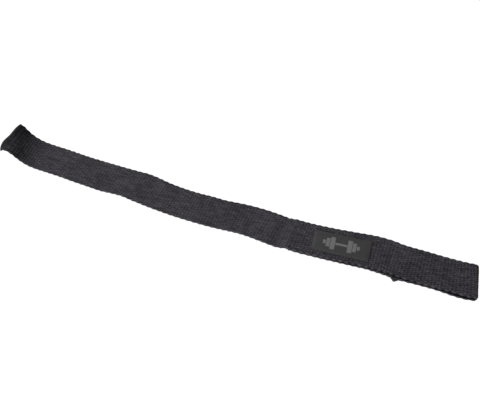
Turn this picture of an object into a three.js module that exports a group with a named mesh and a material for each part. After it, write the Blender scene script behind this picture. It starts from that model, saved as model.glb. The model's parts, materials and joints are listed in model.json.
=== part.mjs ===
// A weightlifting strap of cotton webbing, laid out flat with its tail curling up.
// One length of webbing runs from the tail's cut end to a fold, turns back under itself and is sewn
// down, so that an open eye is left beside the fold. A woven label sits on the sewn part.
// Millimetres. +X runs from the tail to the fold, +Y away from the front edge and +Z up.

import * as THREE from "three";

// Webbing
const webbingWidth = 38;
const webbingThickness = 2.3;

// Lengths measured along the strap as it lies
const laidLength = 518; // from the tail's cut end to the outside of the fold
const eyeLength = 81; // from the outside of the fold to the sewn part
const sewnLength = 102; // from the eye to the webbing's turned-back end
const stepLength = 12; // over which the upper layer climbs onto the turned-back end
const tailLength = 50; // over which the tail lifts off the surface

// Air between the upper and the lower layer
const sewnGap = 0.3;
const eyeGap = 1.7;

// Cut end of the tail: how far it runs on at most
const cutReach = 3.8;

// Rounded corners of the fold
const cornerLength = 4;
const cornerInset = 2.4;

// Woven label
const labelLength = 57;
const labelWidth = 25;
const labelThickness = 0.6;
const labelLift = 0.3; // air under the label
const labelSetback = 24; // from the eye to the label
const labelForward = 1; // from the middle of the webbing towards its front edge

// Spacing of the cross-sections
const longSpacing = 8;
const bendSpacing = 3;
const traceSpacing = 1;
const foldSections = 12;

// Angles at which a rounded edge has a corner, and the spans between the two edges
const webbingEdge = { angles: [90, 50, 15], spans: 6 };
const labelEdge = { angles: [90, 25], spans: 2 };

// Course in plan: the heading in degrees off +X, at shares of the laid length
const course = [
  { share: 0.0, heading: 3 },
  { share: 0.05, heading: 1 },
  { share: 0.1, heading: -1.5 },
  { share: 0.15, heading: -3 },
  { share: 0.2, heading: -0.5 },
  { share: 0.3, heading: -3 },
  { share: 0.4, heading: -4.5 },
  { share: 0.5, heading: 4 },
  { share: 0.6, heading: -3.5 },
  { share: 0.7, heading: 4.5 },
  { share: 0.8, heading: 3.5 },
  { share: 0.85, heading: -3 },
  { share: 0.9, heading: 0.5 },
  { share: 0.95, heading: 1.5 },
  { share: 1.0, heading: 7.5 },
];

// Lift of the tail: climb and roll in degrees, at shares of the tail's length
const tailLift = [
  { share: 0.0, climb: 23, roll: 5 },
  { share: 0.25, climb: 42, roll: -3 },
  { share: 0.5, climb: 28, roll: -2 },
  { share: 0.75, climb: 8.5, roll: -0.5 },
  { share: 1.0, climb: 0, roll: 0 },
];

// Cut end: how far it runs on, in shares of its reach, at places from the front edge, -1, to the back
// edge, 1
const cutEnd = [
  { share: -1.0, beyond: 0.4 },
  { share: -0.85, beyond: 0.76 },
  { share: -0.6, beyond: 1.0 },
  { share: -0.4, beyond: 0.96 },
  { share: -0.2, beyond: 0.76 },
  { share: 0.0, beyond: 0.57 },
  { share: 0.3, beyond: 0.45 },
  { share: 0.6, beyond: 0.34 },
  { share: 0.8, beyond: 0.13 },
  { share: 1.0, beyond: -0.13 },
];

// Lower layer: how far it sticks out in front of the upper one, in shares of the webbing's width, at
// shares of its length from the fold to its cut end
const lowerLayer = [
  { share: 0.0, forward: 0.0 },
  { share: 0.1, forward: 0.03 },
  { share: 0.25, forward: 0.01 },
  { share: 0.37, forward: 0.02 },
  { share: 0.4, forward: 0.1 },
  { share: 0.43, forward: 0.01 },
  { share: 0.6, forward: 0.0 },
  { share: 1.0, forward: 0.0 },
];

// Places along the strap
const eyeStart = laidLength - eyeLength;
const sewnStart = eyeStart - sewnLength;
const stepStart = sewnStart - stepLength;
const foldAxis = laidLength - webbingThickness - eyeGap / 2;
const labelEnd = eyeStart - labelSetback;
const labelStart = labelEnd - labelLength;

const radians = THREE.MathUtils.degToRad;

// Slope of a column at a row, from the rows on both sides of it
function slopeAt(rows, column, index) {
  const before = rows[Math.max(index - 1, 0)];
  const after = rows[Math.min(index + 1, rows.length - 1)];
  return (after[column] - before[column]) / (after.share - before.share);
}

// Smooth curve through a table's column: a cubic between each two rows
function valueAt(rows, column, share) {
  const last = rows.length - 2;
  const found = rows.findIndex((row) => row.share > share) - 1;
  const index = found < 0 ? last : found;
  const start = rows[index];
  const end = rows[index + 1];
  const span = end.share - start.share;
  const part = Math.min(Math.max((share - start.share) / span, 0), 1);
  const square = part * part;
  const cube = square * part;
  return (
    (2 * cube - 3 * square + 1) * start[column] +
    (cube - 2 * square + part) * span * slopeAt(rows, column, index) +
    (3 * square - 2 * cube) * end[column] +
    (cube - square) * span * slopeAt(rows, column, index + 1)
  );
}

// Rise from 0 to 1 between two places, level at both
function rise(along, start, end) {
  return THREE.MathUtils.smoothstep(along, start, end);
}

// Tail's climb or roll in radians, which ends where the tail meets the surface
function tailAngle(column, along) {
  return along < tailLength ? radians(valueAt(tailLift, column, along / tailLength)) : 0;
}

// Height of the upper layer's underside beyond the tail
function layerHeight(along) {
  const sewnHeight = (webbingThickness + sewnGap) * rise(along, stepStart, sewnStart);
  const eyeShare = rise(along, eyeStart, foldAxis);
  return sewnHeight + (eyeGap - sewnGap) * eyeShare * eyeShare;
}

// Path of the underside in small steps from the tail's cut end to the fold
function traceCourse() {
  const steps = Math.ceil(laidLength / traceSpacing);
  const step = laidLength / steps;
  const places = [{ along: 0, x: 0, y: 0, fall: 0 }];
  for (let index = 0; index < steps; index += 1) {
    const before = places[index];
    const half = before.along + step / 2;
    const heading = radians(valueAt(course, "heading", half / laidLength));
    const climb = tailAngle("climb", half);
    places.push({
      along: before.along + step,
      x: before.x + step * Math.cos(climb) * Math.cos(heading),
      y: before.y + step * Math.cos(climb) * Math.sin(heading),
      fall: before.fall + step * Math.sin(climb),
    });
  }
  return places;
}

const places = traceCourse();
const tailFall = places[places.length - 1].fall;

// Frame of the webbing at a place: its underside's middle, and the directions along, across and up
function frameAt(along) {
  const position = (along / laidLength) * (places.length - 1);
  const index = Math.min(Math.floor(position), places.length - 2);
  const before = places[index];
  const after = places[index + 1];
  const part = position - index;
  const heading = radians(valueAt(course, "heading", along / laidLength));
  const slope = (layerHeight(along + traceSpacing) - layerHeight(along - traceSpacing)) / 2;
  const climb = tailAngle("climb", along) - Math.atan(slope / traceSpacing);
  const ahead = new THREE.Vector3(
    Math.cos(climb) * Math.cos(heading),
    Math.cos(climb) * Math.sin(heading),
    -Math.sin(climb),
  );
  const across = new THREE.Vector3(-Math.sin(heading), Math.cos(heading), 0);
  across.applyAxisAngle(ahead, tailAngle("roll", along));
  const up = new THREE.Vector3().crossVectors(ahead, across);
  const origin = new THREE.Vector3(
    THREE.MathUtils.lerp(before.x, after.x, part),
    THREE.MathUtils.lerp(before.y, after.y, part),
    tailFall - THREE.MathUtils.lerp(before.fall, after.fall, part) + layerHeight(along),
  );
  return { origin, ahead, across, up };
}

// Evenly spaced places from start to end, which may lie before start
function spaced(start, end, spacing) {
  const count = Math.max(1, Math.round(Math.abs(end - start) / spacing));
  return Array.from({ length: count + 1 }, (_, index) => start + ((end - start) * index) / count);
}

// Half of a band's cross-section from its front edge to its back edge: where each corner lies across
// the band, and the half thickness there. The edges are round.
function bandProfile(width, thickness, edge) {
  const radius = thickness / 2;
  const flat = width / 2 - radius;
  const round = edge.angles.map((angle) => ({
    across: flat + radius * Math.sin(radians(angle)),
    half: Math.max(radius * Math.cos(radians(angle)), radius / 4),
  }));
  const inner = spaced(-flat, flat, (2 * flat) / edge.spans);
  const front = round.map(({ across, half }) => ({ across: -across, half }));
  const middle = inner.slice(1, -1).map((across) => ({ across, half: radius }));
  return [...front, ...middle, ...round.reverse()];
}

// Ring of corners about a middle: over the top from front to back, and back underneath
function bandRing(profile, middle, across, up) {
  const corner = (point, half) =>
    middle.clone().addScaledVector(across, point.across).addScaledVector(up, half);
  const upper = profile.map((point) => corner(point, point.half));
  const lower = profile.map((point) => corner(point, -point.half)).reverse();
  return [...upper, ...lower];
}

// Closed mesh over a row of rings, with each end closed by strips from its top to its underside
function loftedBand(name, rings, material) {
  const size = rings[0].length;
  const faces = [];
  rings.slice(1).forEach((_, row) => {
    for (let index = 0; index < size; index += 1) {
      const next = (index + 1) % size;
      const here = row * size;
      const there = here + size;
      faces.push(here + index, there + index, there + next);
      faces.push(here + index, there + next, here + next);
    }
  });
  const last = (rings.length - 1) * size;
  for (let index = 0; index < size / 2 - 1; index += 1) {
    const next = index + 1;
    const under = size - 1 - index;
    faces.push(index, next, under - 1);
    faces.push(index, under - 1, under);
    faces.push(last + index, last + under, last + under - 1);
    faces.push(last + index, last + under - 1, last + next);
  }
  const geometry = new THREE.BufferGeometry().setFromPoints(rings.flat());
  geometry.setIndex(faces);
  geometry.computeVertexNormals();
  const mesh = new THREE.Mesh(geometry, material);
  mesh.name = name;
  return mesh;
}

// Webbing's width where reach is left to the outside of the fold: its corners are round
function widthNearFold(reach) {
  const into = Math.min(Math.max(1 - reach / cornerLength, 0), 1);
  return webbingWidth - 2 * cornerInset * (1 - Math.sqrt(1 - into * into));
}

function webbingProfile(reach) {
  return bandProfile(widthNearFold(reach), webbingThickness, webbingEdge);
}

// Upper layer, from the tail's cut end to the fold. The cut is slanted, and bowed near its front corner.
function upperRings() {
  const stops = [
    ...spaced(0, tailLength, bendSpacing).slice(0, -1),
    ...spaced(tailLength, stepStart, longSpacing).slice(0, -1),
    ...spaced(stepStart, sewnStart, bendSpacing).slice(0, -1),
    ...spaced(sewnStart, eyeStart, longSpacing).slice(0, -1),
    ...spaced(eyeStart, foldAxis, longSpacing).slice(0, -1),
  ];
  const rings = stops.map((along) => {
    const { origin, across, up } = frameAt(along);
    const middle = origin.addScaledVector(up, webbingThickness / 2);
    return bandRing(webbingProfile(laidLength - along), middle, across, up);
  });
  const { ahead } = frameAt(0);
  const profile = webbingProfile(laidLength);
  rings[0].forEach((corner, index) => {
    const point = profile[Math.min(index, rings[0].length - 1 - index)];
    const share = point.across / (webbingWidth / 2);
    corner.addScaledVector(ahead, -cutReach * valueAt(cutEnd, "beyond", share));
  });
  return rings;
}

// Fold: half a turn about an axis across the strap
function foldRings() {
  const radius = (webbingThickness + eyeGap) / 2;
  const { origin, across } = frameAt(foldAxis);
  const ahead = new THREE.Vector3(across.y, -across.x, 0);
  const axis = origin.clone();
  axis.z = webbingThickness + eyeGap / 2;
  return spaced(0, Math.PI, Math.PI / foldSections).map((turn) => {
    const out = new THREE.Vector3(0, 0, Math.cos(turn)).addScaledVector(ahead, Math.sin(turn));
    const middle = axis.clone().addScaledVector(out, radius);
    const outside = (radius + webbingThickness / 2) * (1 - Math.sin(turn));
    return bandRing(webbingProfile(outside), middle, across, out);
  });
}

// Lower layer, from the fold back to its cut end under the sewn part
function lowerRings() {
  const stops = [
    ...spaced(foldAxis, eyeStart + stepLength, longSpacing).slice(1),
    ...spaced(eyeStart + stepLength, eyeStart - stepLength / 2, bendSpacing).slice(1),
    ...spaced(eyeStart - stepLength / 2, sewnStart, longSpacing).slice(1),
  ];
  return stops.map((along) => {
    const { origin, across } = frameAt(along);
    const share = (foldAxis - along) / (foldAxis - sewnStart);
    const middle = origin.clone().setZ(webbingThickness / 2);
    middle.addScaledVector(across, -webbingWidth * valueAt(lowerLayer, "forward", share));
    return bandRing(webbingProfile(laidLength - along), middle, across, new THREE.Vector3(0, 0, -1));
  });
}

function webbing() {
  const cotton = new THREE.MeshStandardMaterial({ color: 0x2c2c31, roughness: 0.95, metalness: 0 });
  return loftedBand("webbing", [...upperRings(), ...foldRings(), ...lowerRings()], cotton);
}

function wovenLabel() {
  const profile = bandProfile(labelWidth, labelThickness, labelEdge);
  const rings = spaced(labelStart, labelEnd, longSpacing).map((along) => {
    const { origin, across, up } = frameAt(along);
    const middle = origin.addScaledVector(up, webbingThickness + labelLift + labelThickness / 2);
    return bandRing(profile, middle.addScaledVector(across, -labelForward), across, up);
  });
  const satin = new THREE.MeshStandardMaterial({ color: 0x242428, roughness: 0.7, metalness: 0 });
  return loftedBand("woven_label", rings, satin);
}

// The origin is in the middle of the strap's footprint, on the surface that it lies on
const strap = new THREE.Group();
strap.add(webbing(), wovenLabel());
const box = new THREE.Box3().setFromObject(strap);
const middle = box.getCenter(new THREE.Vector3());
strap.position.set(-middle.x, -middle.y, -box.min.z);

const model = new THREE.Group();
model.add(strap);

export default model;
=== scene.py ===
"""Looks of a weightlifting strap of black cotton webbing, laid out with its tail curling up.

Inside the classes, lengths are millimetres along, across and above the strap, with the same sizes and
tables as in the part's source. They become metres when a mesh is made. A place along the webbing is its
run: it counts from the tail's cut end over the upper layer, round the fold and back along the lower layer
to the turned-back end.
"""

import json
import logging
import math
from collections.abc import Callable
from dataclasses import dataclass, field, fields, replace
from enum import Enum
from functools import cached_property

import bpy
import numpy as np
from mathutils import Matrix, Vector

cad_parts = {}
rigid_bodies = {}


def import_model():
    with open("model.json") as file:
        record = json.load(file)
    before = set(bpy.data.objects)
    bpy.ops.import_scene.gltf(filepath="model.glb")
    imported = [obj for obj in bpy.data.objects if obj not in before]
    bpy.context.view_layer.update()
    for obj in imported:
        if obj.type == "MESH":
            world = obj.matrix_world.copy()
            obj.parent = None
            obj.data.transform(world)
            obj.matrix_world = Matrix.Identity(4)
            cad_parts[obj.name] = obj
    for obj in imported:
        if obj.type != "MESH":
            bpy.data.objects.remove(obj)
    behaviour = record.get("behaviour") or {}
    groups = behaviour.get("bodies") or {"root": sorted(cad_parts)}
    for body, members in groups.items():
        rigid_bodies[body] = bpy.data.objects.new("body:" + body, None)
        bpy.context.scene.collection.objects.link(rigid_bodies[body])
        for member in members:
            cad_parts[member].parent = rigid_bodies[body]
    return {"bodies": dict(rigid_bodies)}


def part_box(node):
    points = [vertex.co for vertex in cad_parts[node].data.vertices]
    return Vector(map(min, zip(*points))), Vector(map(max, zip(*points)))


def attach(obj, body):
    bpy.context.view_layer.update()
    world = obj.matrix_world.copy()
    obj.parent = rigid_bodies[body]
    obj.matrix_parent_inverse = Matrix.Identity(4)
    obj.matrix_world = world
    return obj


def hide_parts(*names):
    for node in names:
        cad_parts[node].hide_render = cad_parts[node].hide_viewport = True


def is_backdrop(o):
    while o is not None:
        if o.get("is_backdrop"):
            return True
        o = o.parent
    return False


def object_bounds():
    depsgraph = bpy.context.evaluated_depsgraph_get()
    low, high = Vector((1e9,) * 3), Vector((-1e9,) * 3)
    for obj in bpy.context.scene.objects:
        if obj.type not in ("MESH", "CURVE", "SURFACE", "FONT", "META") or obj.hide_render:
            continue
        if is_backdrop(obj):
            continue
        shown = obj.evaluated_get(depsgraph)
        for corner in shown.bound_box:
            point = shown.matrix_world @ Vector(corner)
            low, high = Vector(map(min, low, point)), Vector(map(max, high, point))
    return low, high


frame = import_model()
cad_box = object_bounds()

LOG = logging.getLogger("strap")
MM = 0.001
BODY = "root"
WEAVE_MAP = "Weave"
BAKE_MAP = "OFBake"
WHITE = (1.0, 1.0, 1.0, 1.0)
SHEEN_ROUGHNESS = 0.45


class Face(Enum):
    """Which outer face of the strap a row of stitches lies on."""

    TOP = "top"
    LABEL = "label"
    UNDER = "under"


def rise(place: np.ndarray, start: float, end: float) -> np.ndarray:
    """Rise from 0 to 1 between two places, level at both.

    The share t of the way gives 3 t squared minus 2 t cubed.

    Args:
        place: Places along an axis.
        start: Place at which the value leaves 0.
        end: Place at which the value reaches 1.

    Returns:
        The values, in the shape of place.
    """
    share = np.clip((np.asarray(place, float) - start) / (end - start), 0.0, 1.0)
    return share * share * (3.0 - 2.0 * share)


def swell(place: np.ndarray, centre: float, reach: float) -> np.ndarray:
    """Bell-shaped hump: e to the power of minus the square of the distance over the reach.

    Args:
        place: Places along an axis.
        centre: Place of the hump's top, where the value is 1.
        reach: Distance at which the value has fallen to 0.37.

    Returns:
        The values, in the shape of place.
    """
    return np.exp(-(((np.asarray(place, float) - centre) / reach) ** 2))


def quarter(way: np.ndarray, least: float = 0.0) -> np.ndarray:
    """Height of a quarter circle of radius 1 at a way in from its tip, but never under the least."""
    into = 1.0 - np.clip(way, 0.0, 1.0)
    return np.maximum(np.sqrt(1.0 - into * into), least)


@dataclass(frozen=True)
class Curve:
    """Smooth curve through a short table of stops, such as shares of a length, and the values there."""

    stops: tuple[float, ...]
    values: tuple[float, ...]

    def at(self, stop: np.ndarray) -> np.ndarray:
        """Value at any stops.

        Between two rows it is the cubic that has their values, and at each row the slope of the straight
        line between its two neighbours.

        Args:
            stop: Places on the table's scale.

        Returns:
            The values, in the shape of stop.
        """
        rows = np.asarray(self.stops)
        values = np.asarray(self.values)
        number = np.arange(len(rows))
        before = np.maximum(number - 1, 0)
        after = np.minimum(number + 1, len(rows) - 1)
        slope = (values[after] - values[before]) / (rows[after] - rows[before])
        place = np.clip(stop, rows[0], rows[-1])
        start = np.clip(np.searchsorted(rows, place, side="right") - 1, 0, len(rows) - 2)
        end = start + 1
        span = rows[end] - rows[start]
        part = (place - rows[start]) / span
        square = part * part
        cube = square * part
        return (
            (2 * cube - 3 * square + 1) * values[start]
            + (cube - 2 * square + part) * span * slope[start]
            + (3 * square - 2 * cube) * values[end]
            + (cube - square) * span * slope[end]
        )


@dataclass(frozen=True)
class Frames:
    """Frames of the webbing: the middle of its thickness, and the directions along, across and out."""

    middle: np.ndarray
    ahead: np.ndarray
    across: np.ndarray
    out: np.ndarray

    def point(self, across: np.ndarray, out: np.ndarray) -> np.ndarray:
        """Point at distances across the webbing and out of its face, from the middle."""
        return self.middle + self.across * across[..., None] + self.out * out[..., None]

    def each(self, change: Callable[[np.ndarray], np.ndarray]) -> "Frames":
        """Frames with the same change made to all four arrays."""
        return Frames(*(change(getattr(self, item.name)) for item in fields(self)))


@dataclass(frozen=True)
class StrapPath:
    """Path of the webbing as it lies, from the tail's cut end to the turned-back end."""

    width: float = 38.0
    thickness: float = 2.3
    laid_length: float = 518.0
    eye_length: float = 81.0
    sewn_length: float = 102.0
    step_length: float = 12.0
    tail_length: float = 50.0
    sewn_gap: float = 0.3
    eye_gap: float = 1.7
    cut_reach: float = 3.8
    cut_blend: float = 10.0
    corner_length: float = 4.0
    corner_inset: float = 2.4
    spacing: float = 0.25
    fold_steps: int = 40
    cut_stops: int = 21
    lead: float = 8.0
    heading: Curve = Curve(
        (0.0, 0.05, 0.1, 0.15, 0.2, 0.3, 0.4, 0.5, 0.6, 0.7, 0.8, 0.85, 0.9, 0.95, 1.0),
        (3.0, 1.0, -1.5, -3.0, -0.5, -3.0, -4.5, 4.0, -3.5, 4.5, 3.5, -3.0, 0.5, 1.5, 7.5),
    )
    climb: Curve = Curve((0.0, 0.25, 0.5, 0.75, 1.0), (23.0, 42.0, 28.0, 8.5, 0.0))
    roll: Curve = Curve((0.0, 0.25, 0.5, 0.75, 1.0), (5.0, -3.0, -2.0, -0.5, 0.0))
    forward: Curve = Curve(
        (0.0, 0.1, 0.25, 0.37, 0.4, 0.43, 0.6, 1.0),
        (0.0, 0.03, 0.01, 0.02, 0.1, 0.01, 0.0, 0.0),
    )
    cut_end: Curve = Curve(
        (-1.0, -0.85, -0.6, -0.4, -0.2, 0.0, 0.3, 0.6, 0.8, 1.0),
        (0.4, 0.76, 1.0, 0.96, 0.76, 0.57, 0.45, 0.34, 0.13, -0.13),
    )

    @property
    def eye_start(self) -> float:
        """Place where the sewn part ends and the eye begins."""
        return self.laid_length - self.eye_length

    @property
    def sewn_start(self) -> float:
        """Place of the turned-back end under the strap."""
        return self.eye_start - self.sewn_length

    @property
    def step_start(self) -> float:
        """Place where the upper layer begins to climb onto the turned-back end."""
        return self.sewn_start - self.step_length

    @property
    def fold_axis(self) -> float:
        """Place of the axis about which the webbing folds."""
        return self.laid_length - self.thickness - self.eye_gap / 2

    @property
    def fold_radius(self) -> float:
        """Radius of the fold at the middle of the thickness."""
        return (self.thickness + self.eye_gap) / 2

    @property
    def lower_start(self) -> float:
        """Run at which the fold ends and the lower layer begins."""
        return self.fold_axis + math.pi * self.fold_radius

    @property
    def full_run(self) -> float:
        """Run of the turned-back end: the length of the webbing."""
        return self.lower_start + self.fold_axis - self.sewn_start

    def place_of(self, run: np.ndarray) -> np.ndarray:
        """Place along the strap of a run, which goes back again on the lower layer."""
        return np.where(run <= self.fold_axis, run, self.fold_axis - np.maximum(run - self.lower_start, 0.0))

    def layer_height(self, place: np.ndarray) -> np.ndarray:
        """Height of the upper layer's underside beyond the tail.

        It climbs the lower layer's thickness and the sewn gap over the step, and in the eye it rises by the
        rest of the eye's gap times the square of a smooth rise.
        """
        sewn = (self.thickness + self.sewn_gap) * rise(place, self.step_start, self.sewn_start)
        share = rise(place, self.eye_start, self.fold_axis)
        return sewn + (self.eye_gap - self.sewn_gap) * share * share

    def tail_angle(self, curve: Curve, place: np.ndarray) -> np.ndarray:
        """Tail's climb or roll in radians, which ends where the tail meets the surface."""
        angle = np.radians(curve.at(place / self.tail_length))
        return np.where(place < self.tail_length, angle, 0.0)

    def upper_frames(self, place: np.ndarray) -> tuple[Frames, np.ndarray]:
        """Frames of the upper layer.

        Steps of 1 mm are summed: each adds the cosine of the climb times the cosine and sine of the heading
        to x and y, and takes the sine of the climb from the height. Beyond the tail, the slope is that of
        the layer's height over a millimetre to both sides.

        Args:
            place: Places from 0 to the fold's axis, in order.

        Returns:
            The frames, and the headings in radians.
        """
        steps = math.ceil(self.laid_length)
        step = self.laid_length / steps
        half = (np.arange(steps) + 0.5) * step
        turn = np.radians(self.heading.at(half / self.laid_length))
        lift = self.tail_angle(self.climb, half)
        stops = np.arange(steps + 1) * step
        x = np.concatenate([[0.0], np.cumsum(step * np.cos(lift) * np.cos(turn))])
        y = np.concatenate([[0.0], np.cumsum(step * np.cos(lift) * np.sin(turn))])
        fall = np.concatenate([[0.0], np.cumsum(step * np.sin(lift))])
        heading = np.radians(self.heading.at(place / self.laid_length))
        slope = (self.layer_height(place + 1.0) - self.layer_height(place - 1.0)) / 2
        climb = self.tail_angle(self.climb, place) - np.arctan(slope)
        roll = self.tail_angle(self.roll, place)[:, None]
        flat = np.zeros_like(place)
        ahead = np.stack(
            [np.cos(climb) * np.cos(heading), np.cos(climb) * np.sin(heading), -np.sin(climb)], axis=1
        )
        level = np.stack([-np.sin(heading), np.cos(heading), flat], axis=1)
        across = level * np.cos(roll) + np.cross(ahead, level) * np.sin(roll)
        out = np.cross(ahead, across)
        height = fall[-1] - np.interp(place, stops, fall) + self.layer_height(place)
        origin = np.stack([np.interp(place, stops, x), np.interp(place, stops, y), height], axis=1)
        return Frames(origin + out * self.thickness / 2, ahead, across, out), heading

    @cached_property
    def table(self) -> tuple[np.ndarray, Frames]:
        """Runs and frames of the whole webbing at a close spacing, moved into the CAD box.

        The fold is half a turn about the axis, and the lower layer lies on the surface under the upper one,
        moved forward by its own table. One row is added at a lead before the cut end, straight on.
        """
        place = np.linspace(0.0, self.fold_axis, round(self.fold_axis / self.spacing) + 1)
        upper, heading = self.upper_frames(place)
        ahead = np.array([math.cos(heading[-1]), math.sin(heading[-1]), 0.0])
        skyward = np.array([0.0, 0.0, 1.0])
        turn = np.linspace(0.0, math.pi, self.fold_steps + 1)[1:, None]
        out = skyward * np.cos(turn) + ahead * np.sin(turn)
        axis = upper.middle[-1] - upper.out[-1] * self.thickness / 2
        axis[2] = self.fold_radius + self.thickness / 2
        fold = Frames(
            axis + out * self.fold_radius,
            ahead * np.cos(turn) - skyward * np.sin(turn),
            np.repeat(upper.across[-1:], len(turn), axis=0),
            out,
        )
        back = np.flatnonzero(place >= self.sewn_start)[::-1][1:]
        share = (self.fold_axis - place[back]) / (self.fold_axis - self.sewn_start)
        middle = upper.middle[back] - upper.out[back] * self.thickness / 2
        middle[:, 2] = self.thickness / 2
        middle -= upper.across[back] * (self.width * self.forward.at(share))[:, None]
        level = np.stack([-np.cos(heading[back]), -np.sin(heading[back]), np.zeros(len(back))], axis=1)
        lower = Frames(middle, level, upper.across[back], np.repeat(-skyward[None], len(back), axis=0))
        run = np.concatenate(
            [
                [-self.lead],
                place,
                self.fold_axis + turn[:, 0] * self.fold_radius,
                self.lower_start + self.fold_axis - place[back],
            ]
        )
        end = upper.each(lambda values: values[:1])
        parts = (replace(end, middle=end.middle - self.lead * end.ahead), upper, fold, lower)
        columns = ([getattr(part, item.name) for part in parts] for item in fields(Frames))
        whole = Frames(*(np.concatenate(column) for column in columns))
        return run, replace(whole, middle=whole.middle + self.shift(run, whole))

    def shift(self, run: np.ndarray, whole: Frames) -> np.ndarray:
        """Move that puts the plain webbing's box into the middle of the CAD box, and onto its bottom."""
        low, high = (np.array(corner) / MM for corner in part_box("webbing"))
        edge = self.width_at(run) / 2
        half = np.full_like(edge, self.thickness / 2)
        kept = whole.each(lambda values: values[1:])
        sides = np.concatenate([kept.point(side * (edge - half)[1:], half[1:]) for side in (-1.0, 0.0, 1.0)])
        share = np.linspace(-1.0, 1.0, self.cut_stops)[:, None]
        cut = whole.middle[1] + whole.across[1] * share * self.width / 2
        sides = np.concatenate([sides, cut - whole.ahead[1] * self.cut_reach * self.cut_end.at(share)])
        centre = (sides.min(axis=0) + sides.max(axis=0)) / 2
        move = (low + high) / 2 - centre
        move[2] = low[2]
        return move

    def at(self, run: np.ndarray) -> Frames:
        """Frames at any runs, read from the close table.

        Args:
            run: Runs, in any shape.

        Returns:
            Frames whose arrays have the shape of run with one more axis of 3.
        """
        stops, whole = self.table

        def read(values: np.ndarray) -> np.ndarray:
            """Each of the three coordinates read between two rows of the table."""
            return np.stack([np.interp(run, stops, values[:, axis]) for axis in range(3)], axis=-1)

        return whole.each(read)

    def width_at(self, run: np.ndarray) -> np.ndarray:
        """Width of the webbing, which narrows at the round corners of the fold.

        Within the corner's length of the fold's outside, each side gives up the inset times 1 minus the
        height of a quarter circle.
        """
        turn = np.clip((run - self.fold_axis) / self.fold_radius, 0.0, math.pi)
        bent = (self.fold_radius + self.thickness / 2) * (1.0 - np.sin(turn))
        straight = self.laid_length - self.place_of(run)
        folding = (run > self.fold_axis) & (run < self.lower_start)
        reach = np.where(folding, bent, straight)
        return self.width - 2 * self.corner_inset * (1.0 - quarter(reach / self.corner_length))


@dataclass(frozen=True)
class Section:
    """Cross-section of a band as a closed ring: over its top to the back, and back underneath."""

    width: float
    thickness: float
    yarns: int
    steps: int
    edge_steps: int = 8
    edge_power: float = 0.72

    @property
    def flat(self) -> float:
        """Half width of the flat part between the two round edges."""
        return (self.width - self.thickness) / 2

    @property
    def columns(self) -> int:
        """Columns on one flat face."""
        return self.yarns * self.steps

    @cached_property
    def shape(self) -> dict[str, np.ndarray]:
        """Where each column lies.

        The top runs at even steps from front to back, the back edge goes round as half a circle made
        squarer by a power of its sine and cosine, the underside runs back, and the front edge closes the
        ring.

        Returns:
            Arrays with one value for each column: core (its place across the flat part), edge (what the
            round edge adds to that), height, side and lift (its outward direction), yarn (the number of its
            yarn), place (its share of that yarn's width), arc (its distance round the ring), and the
            masks top, under and round.
        """
        count, edge, radius = self.columns, self.edge_steps, self.thickness / 2
        walk = np.linspace(-self.flat, self.flat, count + 1)[:-1]
        turn = np.pi * np.arange(edge) / edge
        bulge = radius * np.sin(turn) ** self.edge_power
        level = radius * np.sign(np.cos(turn)) * np.abs(np.cos(turn)) ** self.edge_power
        yarn, share = np.arange(count) // self.steps, np.arange(count) % self.steps / self.steps
        face, curve = 2 * self.flat, np.pi * radius

        def around(*stretches: object) -> np.ndarray:
            """Values round the ring, from an array or one value for each of its four stretches."""
            sizes = (count, edge, count, edge)
            return np.concatenate([np.broadcast_to(part, size) for part, size in zip(stretches, sizes)])

        return {
            "core": around(walk, self.flat, -walk, -self.flat),
            "edge": around(0.0, bulge, 0.0, -bulge),
            "height": around(radius, level, -radius, -level),
            "side": around(0.0, np.sin(turn), 0.0, -np.sin(turn)),
            "lift": around(1.0, np.cos(turn), -1.0, -np.cos(turn)),
            "yarn": around(yarn, self.yarns, self.yarns + 1 + yarn, 2 * self.yarns + 1),
            "place": around(share, turn / np.pi, share, turn / np.pi),
            "arc": around(
                walk + self.flat,
                face + turn * radius,
                face + curve + walk + self.flat,
                2 * face + curve + turn * radius,
            ),
            "top": around(True, False, False, False),
            "under": around(False, False, True, False),
            "round": around(False, True, False, True),
        }

    @property
    def perimeter(self) -> float:
        """Length round the ring."""
        return 4 * self.flat + math.pi * self.thickness


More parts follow.
